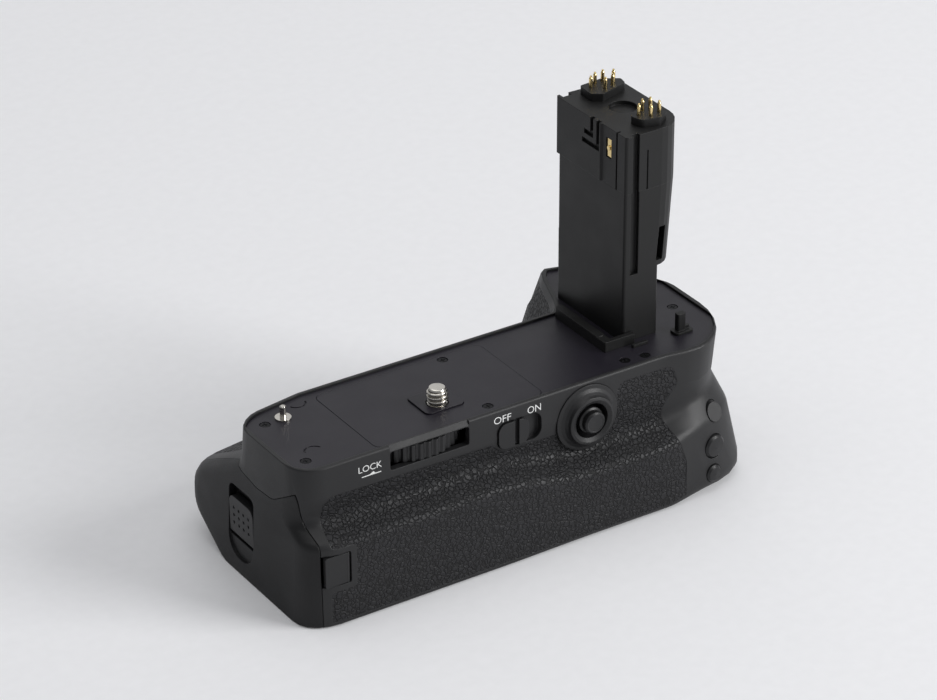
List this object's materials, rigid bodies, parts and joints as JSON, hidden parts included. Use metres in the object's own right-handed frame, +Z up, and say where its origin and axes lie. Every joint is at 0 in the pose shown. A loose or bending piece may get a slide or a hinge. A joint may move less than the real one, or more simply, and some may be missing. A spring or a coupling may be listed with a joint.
{
  "type": "camera battery grip",
  "caption": "Vertical battery grip for a camera, with a tall contact stem, a thumbwheel-driven attachment screw, a slide-out battery magazine and its own vertical controls.",
  "frame": {"origin": "centre of the tripod socket's mouth on the underside, straight below the attachment screw", "axes": "+X along the grip towards the stem end, -Y towards the user, +Z up along the attachment screw"},
  "size_m": [0.1549, 0.0755, 0.1175],
  "materials": {
    "housing": "fine moulded texture, black",
    "deck": "satin black plate",
    "grip_rubber": "pebbled black rubber",
    "chassis": "plain black moulding",
    "stem": "smooth black moulding",
    "controls": "satin black caps",
    "steel": "bright nickel plate",
    "black_screw": "blackened steel",
    "brass": "turned brass",
    "gold": "gold-plated contacts",
    "board": "green circuit board",
    "switch": "pressed metal switch cans"
  },
  "bodies": {
    "grip": {"main_housing": "housing", "rear_grip_skin": "grip_rubber", "front_grip_skin": "grip_rubber", "base_plate": "housing", "top_plate": "deck", "mount_panel": "deck", "screw_pad": "deck", "magazine_tunnel": "chassis", "wheel_boss": "chassis", "tripod_bush": "brass", "stem_column": "stem", "stem_cap": "stem", "stem_side_contact": "gold", "left_pin_block": "stem", "right_pin_block": "stem", "locating_pin": "steel", "cover_holder": "stem", "door_post": "stem", "deck_screws": "black_screw", "base_screws": "black_screw", "joystick_bezel": "housing", "joystick_base": "chassis", "button_board": "board", "tact_switches": "switch", "shutter_board": "board", "dial_bracket": "chassis", "preview_switch": "switch", "main_board": "board", "switch_card": "board", "bay_contacts": "gold", "cord_hinge_pin": "steel"},
    "thumbwheel": {"thumbwheel": "controls"},
    "screw": {"attachment_screw": "steel", "screw_pinion": "brass"},
    "power_switch": {"power_switch": "controls"},
    "joystick_carrier": {"joystick_carrier": "chassis"},
    "joystick_gimbal": {"joystick_gimbal": "chassis"},
    "joystick_cap": {"joystick_cap": "controls"},
    "upper_button": {"upper_button": "controls"},
    "middle_button": {"middle_button": "controls"},
    "lower_button": {"lower_button": "controls"},
    "shutter_button": {"shutter_button": "controls"},
    "function_button": {"function_button": "controls"},
    "preview_button": {"preview_button": "controls"},
    "main_dial": {"main_dial": "controls"},
    "magazine": {"magazine_frame": "chassis", "magazine_end_cap": "housing", "magazine_contacts": "gold", "handle_pin": "steel"},
    "release_handle": {"release_handle": "controls"},
    "latch_bolt": {"latch_bolt": "steel"},
    "cord_cover": {"cord_cover": "controls"},
    "left_contact_pins": {"left_contact_pins": "gold"},
    "right_contact_pins": {"right_contact_pins": "gold"}
  },
  "joints": [
    {"name": "wheel_turn", "type": "hinge", "parent": "grip", "child": "thumbwheel", "pos_m": [-0.0112, 0.00402, 0.0422], "axis": [0, 0, 1], "continuous": true},
    {"name": "screw_turn", "type": "hinge", "parent": "grip", "child": "screw", "pos_m": [0, 0, 0.046], "axis": [0, 0, 1], "continuous": true},
    {"name": "power_switch_slide", "type": "slide", "parent": "grip", "child": "power_switch", "axis": [1, 0, 0], "range_m": [0, 0.0044]},
    {"name": "joystick_press", "type": "slide", "parent": "grip", "child": "joystick_carrier", "axis": [0, 1, 0], "range_m": [0, 0.0006], "stiffness_N_per_m": 500},
    {"name": "joystick_tilt_sideways", "type": "hinge", "parent": "joystick_carrier", "child": "joystick_gimbal", "pos_m": [0.0413, -0.0104, 0.0356], "axis": [0, 0, 1], "range_deg": [-8, 8], "stiffness_Nm_per_rad": 0.02},
    {"name": "joystick_tilt_updown", "type": "hinge", "parent": "joystick_gimbal", "child": "joystick_cap", "pos_m": [0.0413, -0.0104, 0.0356], "axis": [1, 0, 0], "range_deg": [-8, 8], "stiffness_Nm_per_rad": 0.02},
    {"name": "upper_button_press", "type": "slide", "parent": "grip", "child": "upper_button", "axis": [-0.1392, 0.9903, 0], "range_m": [0, 0.0008], "stiffness_N_per_m": 400},
    {"name": "middle_button_press", "type": "slide", "parent": "grip", "child": "middle_button", "axis": [-0.1392, 0.9903, 0], "range_m": [0, 0.0008], "stiffness_N_per_m": 400},
    {"name": "lower_button_press", "type": "slide", "parent": "grip", "child": "lower_button", "axis": [-0.1392, 0.9903, 0], "range_m": [0, 0.0008], "stiffness_N_per_m": 400},
    {"name": "shutter_button_press", "type": "slide", "parent": "grip", "child": "shutter_button", "axis": [-0.6217, -0.7833, 0], "range_m": [0, 0.0008], "stiffness_N_per_m": 400},
    {"name": "function_button_press", "type": "slide", "parent": "grip", "child": "function_button", "axis": [-0.6217, -0.7833, 0], "range_m": [0, 0.0008], "stiffness_N_per_m": 400},
    {"name": "preview_button_press", "type": "slide", "parent": "grip", "child": "preview_button", "axis": [0, -1, 0], "range_m": [0, 0.0008], "stiffness_N_per_m": 400},
    {"name": "main_dial_turn", "type": "hinge", "parent": "grip", "child": "main_dial", "pos_m": [0.0892, 0.012, 0.033], "axis": [0, 1, 0], "continuous": true},
    {"name": "magazine_slide", "type": "slide", "parent": "grip", "child": "magazine", "axis": [-1, 0, 0], "range_m": [0, 0.12]},
    {"name": "release_handle_flip", "type": "hinge", "parent": "magazine", "child": "release_handle", "pos_m": [-0.0527, 0.0172, 0.0121], "axis": [0, -1, 0], "range_deg": [0, 80]},
    {"name": "latch_bolt_slide", "type": "slide", "parent": "magazine", "child": "latch_bolt", "axis": [0, 0, -1], "range_m": [0, 0.0016], "stiffness_N_per_m": 200},
    {"name": "cord_cover_hinge", "type": "hinge", "parent": "grip", "child": "cord_cover", "pos_m": [-0.04215, -0.0194, 0.01785], "axis": [0, 0, 1], "range_deg": [0, 95]},
    {"name": "left_contact_pins_press", "type": "slide", "parent": "grip", "child": "left_contact_pins", "axis": [0, 0, -1], "range_m": [0, 0.001], "stiffness_N_per_m": 400},
    {"name": "right_contact_pins_press", "type": "slide", "parent": "grip", "child": "right_contact_pins", "axis": [0, 0, -1], "range_m": [0, 0.001], "stiffness_N_per_m": 400}
  ],
  "couplings": [
    {"joint": "screw_turn", "follows": "wheel_turn", "ratio": 3.8333},
    {"joint": "release_handle_flip", "follows": "latch_bolt_slide", "rad_per_m": 872}
  ]
}
